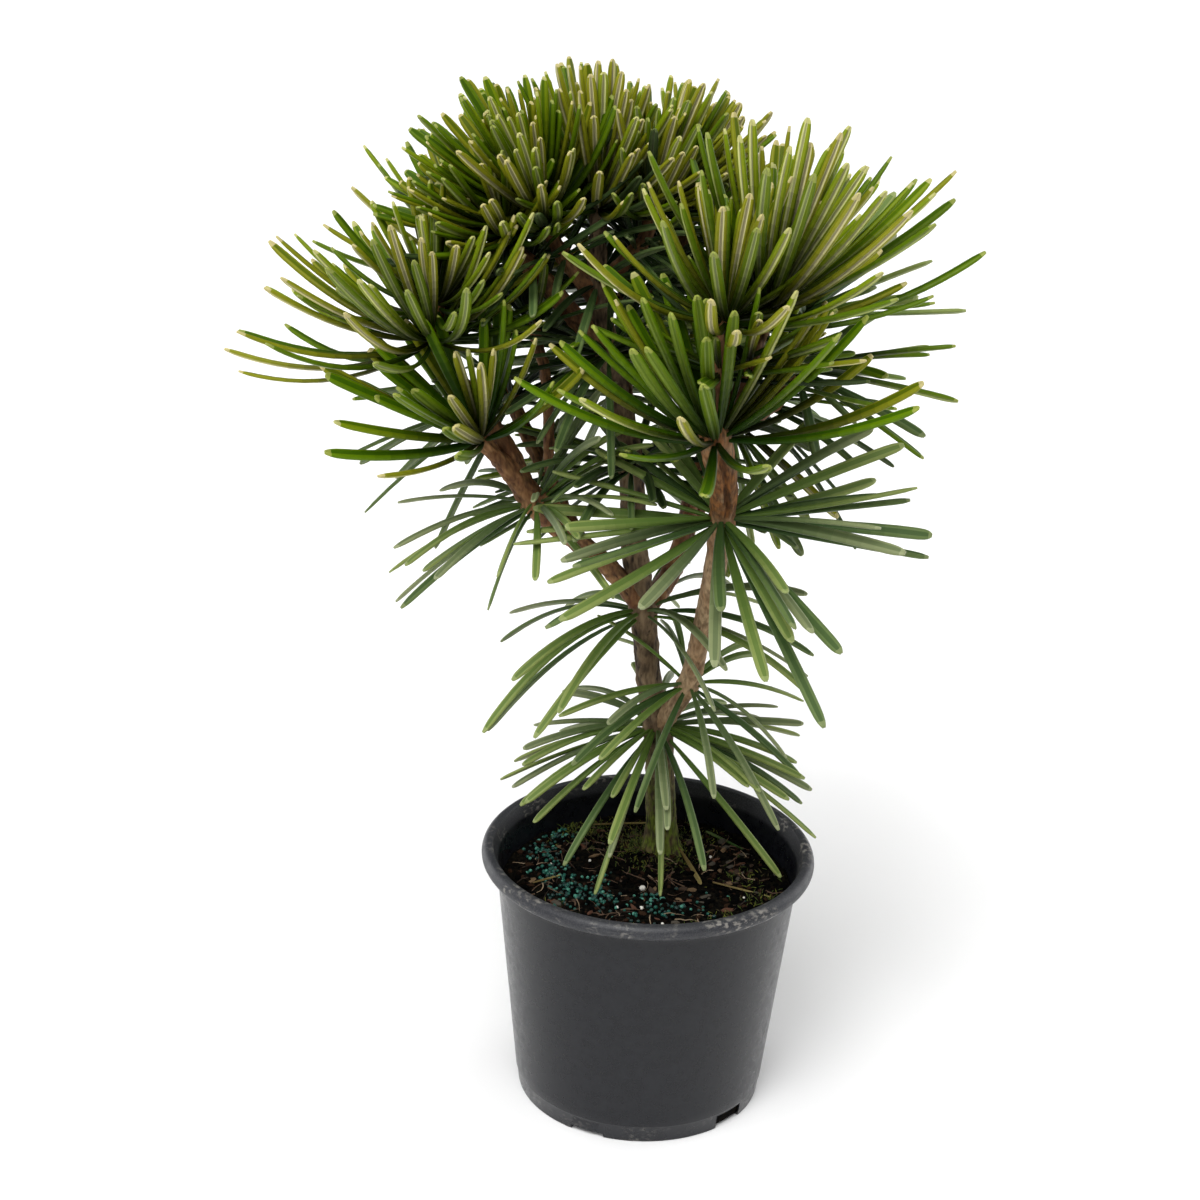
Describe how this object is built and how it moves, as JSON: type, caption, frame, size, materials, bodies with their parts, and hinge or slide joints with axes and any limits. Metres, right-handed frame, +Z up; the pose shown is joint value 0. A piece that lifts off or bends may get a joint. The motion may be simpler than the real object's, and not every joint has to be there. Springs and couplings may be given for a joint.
{
  "type": "potted dwarf umbrella pine",
  "caption": "Small upright conifer with thick blunt needles in open whorls on reddish-brown boughs, standing in a round black plastic nursery pot of dark potting soil.",
  "frame": {"origin": "centre of the pot's flat underside, on the surface that it stands on", "axes": "+Z up along the pot's axis, -Y towards the plant's front, +X to the right of someone who faces that front"},
  "size_m": [0.3613, 0.339, 0.5281],
  "materials": {
    "pot_plastic": "thin moulded black polypropylene, satin, scuffed along the rim and foot",
    "soil": "moist dark peat with bark chips, perlite, moss and fertiliser beads",
    "bark": "scaly reddish-brown bark with leaf scars",
    "needles": "thick waxy needles, semi-gloss, grooved, with blunt pale tips"
  },
  "bodies": {
    "root": {"pot": "pot_plastic", "potting_soil": "soil", "trunk": "bark", "bough_back": "bark", "bough_back_left": "bark", "bough_back_right": "bark", "bough_back_top": "bark", "bough_front": "bark", "bough_front_left_tip": "bark", "bough_front_right_tip": "bark", "bough_left": "bark", "bough_left_inner": "bark", "bough_left_upper": "bark", "bough_right": "bark", "bough_top_left": "bark", "bough_top_middle": "bark", "bough_top_right": "bark", "whorl_back_left_low": "needles", "whorl_back_left_tip": "needles", "whorl_back_low": "needles", "whorl_back_right_low": "needles", "whorl_back_right_tip": "needles", "whorl_back_tip": "needles", "whorl_back_top": "needles", "whorl_front_crown": "needles", "whorl_front_left_tip": "needles", "whorl_front_low": "needles", "whorl_front_middle": "needles", "whorl_front_right_tip": "needles", "whorl_left_crown": "needles", "whorl_left_front": "needles", "whorl_left_inner": "needles", "whorl_left_low": "needles", "whorl_left_tip": "needles", "whorl_right_crown": "needles", "whorl_right_low": "needles", "whorl_right_tip": "needles", "whorl_top": "needles", "whorl_top_left": "needles", "whorl_top_middle": "needles", "whorl_top_right": "needles", "whorl_trunk_crown": "needles", "whorl_trunk_high": "needles", "whorl_trunk_low": "needles", "whorl_trunk_middle": "needles"}
  },
  "joints": []
}
